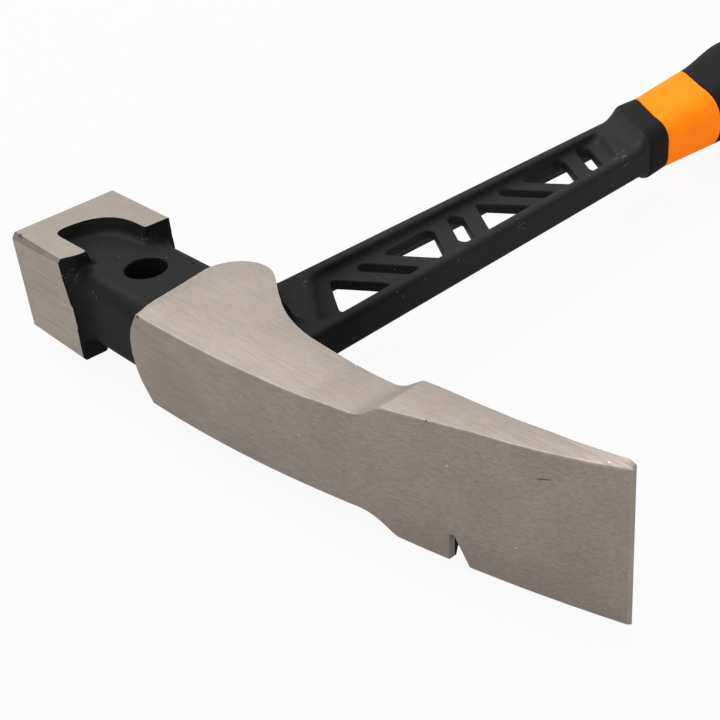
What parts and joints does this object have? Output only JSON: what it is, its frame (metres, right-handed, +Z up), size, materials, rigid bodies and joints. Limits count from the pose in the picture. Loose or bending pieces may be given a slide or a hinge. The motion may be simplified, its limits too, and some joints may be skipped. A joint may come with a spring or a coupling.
{
  "type": "bricklayer hammer",
  "caption": "One-piece forged bricklayer hammer with a square poll, a pierced neck, a curved flaring blade, a truss-cut I-beam shaft and a two-colour moulded grip.",
  "frame": {"origin": "centre of the bounding box's footprint, at its bottom: the hammer lies on its side with the lower corner of the cutting edge at Z 0", "axes": "+X from the poll to the blade, +Y from the head along the shaft to the butt, +Z up across the blade's width"},
  "size_m": [0.1702, 0.29, 0.0358],
  "materials": {
    "forging": "satin black paint, ground bright on the lands, poll, cheek and blade",
    "orange_plastic": "satin",
    "soft_black": "matte"
  },
  "bodies": {
    "root": {"forged_body": "forging", "grip_core": "orange_plastic", "front_collar": "soft_black", "grip_sleeve": "soft_black", "butt_cap": "orange_plastic"}
  },
  "joints": []
}
